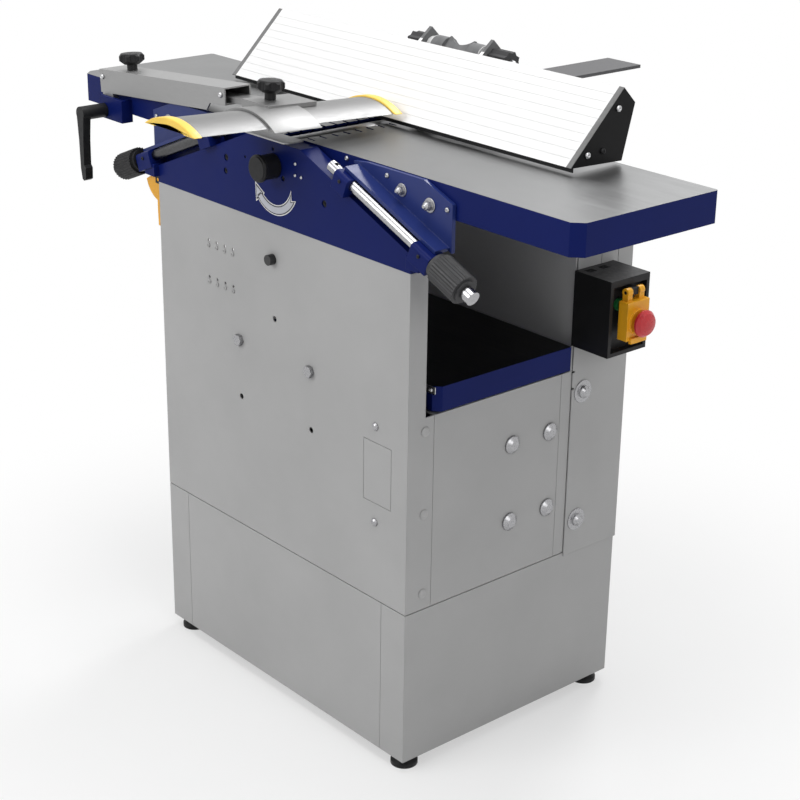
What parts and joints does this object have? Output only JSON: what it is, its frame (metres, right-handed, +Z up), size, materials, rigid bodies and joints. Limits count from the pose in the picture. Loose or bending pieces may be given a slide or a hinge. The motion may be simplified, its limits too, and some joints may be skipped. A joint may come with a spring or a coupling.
{
  "type": "planer thicknesser",
  "caption": "Combined surface planer and thicknesser: grey sheet steel cabinet, navy frame, tilting planer tables with leaning fence and bridge guard, open thicknesser passage below.",
  "frame": {"origin": "middle of the machine's box on the floor", "axes": "+X along the tables towards the infeed end, +Y away from the operator, +Z up"},
  "size_m": [1.096, 0.8566, 0.9933],
  "materials": {
    "grey_paint": "light grey satin powder coat",
    "blue_paint": "navy blue satin enamel",
    "ground_table": "fine ground table top with navy enamelled sides",
    "dark_table": "ground table top with navy enamelled edge",
    "plain_steel": "plain machined steel",
    "bright_steel": "bright zinc plated or ground steel",
    "chrome_rod": "polished hard chrome",
    "cast_grey": "plain grey casting",
    "motor_paint": "dark grey enamel",
    "arm_aluminium": "satin anodised",
    "fence_aluminium": "pale satin anodised, finely grooved",
    "black_plastic": "black moulded plastic",
    "dark_plastic": "dark grey moulded plastic",
    "guard_yellow": "yellow moulded plastic",
    "switch_yellow": "deep yellow moulded plastic",
    "red_plastic": "red moulded plastic",
    "green_plastic": "green moulded plastic",
    "belt_rubber": "black rubber",
    "wheel_rubber": "black rubber tread",
    "nut_brass": "machined bronze"
  },
  "bodies": {
    "cabinet": {"base_ends": "grey_paint", "base_panels": "grey_paint", "levelling_feet": "black_plastic", "base_plate": "grey_paint", "front_panel": "grey_paint", "end_panels": "grey_paint", "bay_wall": "grey_paint", "rear_cover": "grey_paint", "belt_cover": "grey_paint", "panel_fasteners": "bright_steel", "frame_front": "blue_paint", "gap_plate": "plain_steel", "shaft_cap": "black_plastic", "guide_rods": "chrome_rod", "cutter_bearings": "plain_steel", "drive_belt": "belt_rubber", "motor": "motor_paint", "feed_bearings": "cast_grey", "feed_chain": "plain_steel", "column_tube": "cast_grey", "lift_gearbox": "cast_grey", "switch_box": "black_plastic", "stop_base": "black_plastic", "hinge_brackets": "blue_paint"},
    "cutter": {"cutterblock": "plain_steel", "knives": "bright_steel", "knife_wedges": "plain_steel", "cutter_pulley": "cast_grey"},
    "motor_drive": {"motor_pulley": "cast_grey"},
    "reduction": {"reduction_wheel": "wheel_rubber"},
    "roller_in": {"feed_roller_in": "plain_steel"},
    "roller_out": {"feed_roller_out": "plain_steel"},
    "kickback": {"kickback_fingers": "plain_steel"},
    "lift": {"thickness_table": "dark_table", "column_ram": "bright_steel", "lift_screw": "plain_steel"},
    "nut": {"lift_nut": "nut_brass"},
    "crank": {"crank_shaft": "plain_steel", "handwheel": "black_plastic"},
    "flap": {"switch_flap": "switch_yellow"},
    "mushroom": {"stop_mushroom": "red_plastic"},
    "starter": {"start_button": "green_plastic"},
    "stop_paddle": {"outfeed_stop": "switch_yellow"},
    "swing": {"swing_frame": "blue_paint"},
    "infeed": {"infeed_table": "ground_table", "infeed_bracket": "blue_paint"},
    "outfeed": {"outfeed_table": "ground_table", "outfeed_bracket": "blue_paint"},
    "infeed_turn": {"infeed_knob": "dark_plastic"},
    "outfeed_turn": {"outfeed_knob": "black_plastic"},
    "arm": {"guard_arm": "arm_aluminium"},
    "arm_clamp": {"guard_lever": "black_plastic"},
    "arm_screw": {"guard_arm_knob": "black_plastic"},
    "holder": {"guard_holder": "plain_steel"},
    "holder_screw": {"guard_holder_knob": "black_plastic"},
    "guard": {"guard_plate": "arm_aluminium", "guard_caps": "guard_yellow"},
    "carriage": {"fence_carriage": "cast_grey"},
    "fence": {"fence_face": "fence_aluminium"},
    "fence_clamp": {"fence_knobs": "dark_plastic"}
  },
  "joints": [
    {"name": "cutter_spin", "type": "hinge", "parent": "cabinet", "child": "cutter", "pos_m": [-0.001, -0.0987, 0.84], "axis": [0, 1, 0], "continuous": true},
    {"name": "motor_spin", "type": "hinge", "parent": "cabinet", "child": "motor_drive", "pos_m": [0.203, 0.1013, 0.4046], "axis": [0, 1, 0], "continuous": true},
    {"name": "reduction_spin", "type": "hinge", "parent": "cabinet", "child": "reduction", "pos_m": [-0.001, 0.0913, 0.7], "axis": [0, 1, 0], "continuous": true},
    {"name": "roller_in_spin", "type": "hinge", "parent": "cabinet", "child": "roller_in", "pos_m": [-0.051, -0.0987, 0.817], "axis": [0, 1, 0], "continuous": true},
    {"name": "roller_out_spin", "type": "hinge", "parent": "cabinet", "child": "roller_out", "pos_m": [0.049, -0.0987, 0.817], "axis": [0, 1, 0], "continuous": true},
    {"name": "kickback_swing", "type": "hinge", "parent": "cabinet", "child": "kickback", "pos_m": [-0.089, -0.0987, 0.817], "axis": [0, -1, 0], "range_deg": [0, 20]},
    {"name": "table_lift", "type": "slide", "parent": "cabinet", "child": "lift", "axis": [0, 0, 1], "range_m": [0, 0.205]},
    {"name": "nut_turn", "type": "hinge", "parent": "cabinet", "child": "nut", "pos_m": [-0.111, -0.0837, 0.328], "axis": [0, 0, 1], "range_deg": [0, 11070]},
    {"name": "crank_turn", "type": "hinge", "parent": "cabinet", "child": "crank", "pos_m": [-0.331, -0.0837, 0.3533], "axis": [-1, 0, 0], "range_deg": [0, 18450]},
    {"name": "flap_open", "type": "hinge", "parent": "cabinet", "child": "flap", "pos_m": [0.3663, 0.0868, 0.683], "axis": [0, -1, 0], "range_deg": [0, 90]},
    {"name": "mushroom_press", "type": "slide", "parent": "flap", "child": "mushroom", "axis": [-1, 0, 0], "range_m": [0, 0.004], "stiffness_N_per_m": 600, "springref_m": -0.002},
    {"name": "start_press", "type": "slide", "parent": "cabinet", "child": "starter", "axis": [-1, 0, 0], "range_m": [0, 0.003], "stiffness_N_per_m": 500, "springref_m": -0.002},
    {"name": "stop_swing", "type": "hinge", "parent": "cabinet", "child": "stop_paddle", "pos_m": [-0.298, -0.2372, 0.757], "axis": [0, -1, 0], "range_deg": [0, 6], "stiffness_Nm_per_rad": 0.3, "springref_deg": -2.86},
    {"name": "table_swing", "type": "hinge", "parent": "cabinet", "child": "swing", "pos_m": [-0.001, 0.1463, 0.85], "axis": [-1, 0, 0], "range_deg": [0, 85]},
    {"name": "infeed_depth", "type": "slide", "parent": "swing", "child": "infeed", "axis": [0.9272, 0, -0.3746], "range_m": [0, 0.0075]},
    {"name": "outfeed_depth", "type": "slide", "parent": "swing", "child": "outfeed", "axis": [-0.9272, 0, -0.3746], "range_m": [-0.0015, 0.0015]},
    {"name": "infeed_knob_turn", "type": "hinge", "parent": "cabinet", "child": "infeed_turn", "pos_m": [0.146, -0.2542, 0.856], "axis": [0.9272, 0, -0.3746], "range_deg": [0, 1350]},
    {"name": "outfeed_knob_turn", "type": "hinge", "parent": "cabinet", "child": "outfeed_turn", "pos_m": [-0.148, -0.2542, 0.856], "axis": [-0.9272, 0, -0.3746], "range_deg": [-270, 270]},
    {"name": "arm_raise", "type": "hinge", "parent": "outfeed", "child": "arm", "pos_m": [-0.456, -0.2387, 0.834], "axis": [0, -1, 0], "range_deg": [0, 8]},
    {"name": "arm_lever_turn", "type": "hinge", "parent": "outfeed", "child": "arm_clamp", "pos_m": [-0.456, -0.2587, 0.834], "axis": [0, 1, 0], "range_deg": [-45, 45]},
    {"name": "arm_knob_turn", "type": "hinge", "parent": "arm", "child": "arm_screw", "pos_m": [-0.42105, -0.2122, 0.89831], "axis": [-0.0802, 0, 0.9968], "range_deg": [0, 360]},
    {"name": "holder_slide", "type": "slide", "parent": "arm", "child": "holder", "axis": [0.9968, 0, 0.0802], "range_m": [-0.06, 0]},
    {"name": "holder_knob_turn", "type": "hinge", "parent": "holder", "child": "holder_screw", "pos_m": [-0.031, -0.23957, 0.92489], "axis": [0, 0.0471, 0.9989], "range_deg": [0, 360]},
    {"name": "guard_slide", "type": "slide", "parent": "holder", "child": "guard", "axis": [0, -0.9989, 0.0471], "range_m": [0, 0.085]},
    {"name": "fence_slide", "type": "slide", "parent": "swing", "child": "carriage", "axis": [0, 1, 0], "range_m": [0, 0.09]},
    {"name": "fence_tilt", "type": "hinge", "parent": "carriage", "child": "fence", "pos_m": [-0.001, -0.05917, 0.88974], "axis": [1, 0, 0], "range_deg": [0, 45]},
    {"name": "fence_knob_turn", "type": "hinge", "parent": "fence", "child": "fence_clamp", "pos_m": [0.034, 0.05821, 0.9647], "axis": [1, 0, 0], "range_deg": [0, 360]}
  ],
  "couplings": [
    {"joint": "motor_spin", "follows": "cutter_spin", "ratio": 0.5933},
    {"joint": "reduction_spin", "follows": "cutter_spin", "ratio": -0.11138},
    {"joint": "roller_in_spin", "follows": "cutter_spin", "ratio": -0.042142},
    {"joint": "roller_out_spin", "follows": "cutter_spin", "ratio": -0.042142},
    {"joint": "crank_turn", "follows": "table_lift", "rad_per_m": 1570.8},
    {"joint": "nut_turn", "follows": "table_lift", "rad_per_m": 942.48},
    {"joint": "infeed_knob_turn", "follows": "infeed_depth", "rad_per_m": 3141.6},
    {"joint": "outfeed_knob_turn", "follows": "outfeed_depth", "rad_per_m": 3141.6}
  ]
}
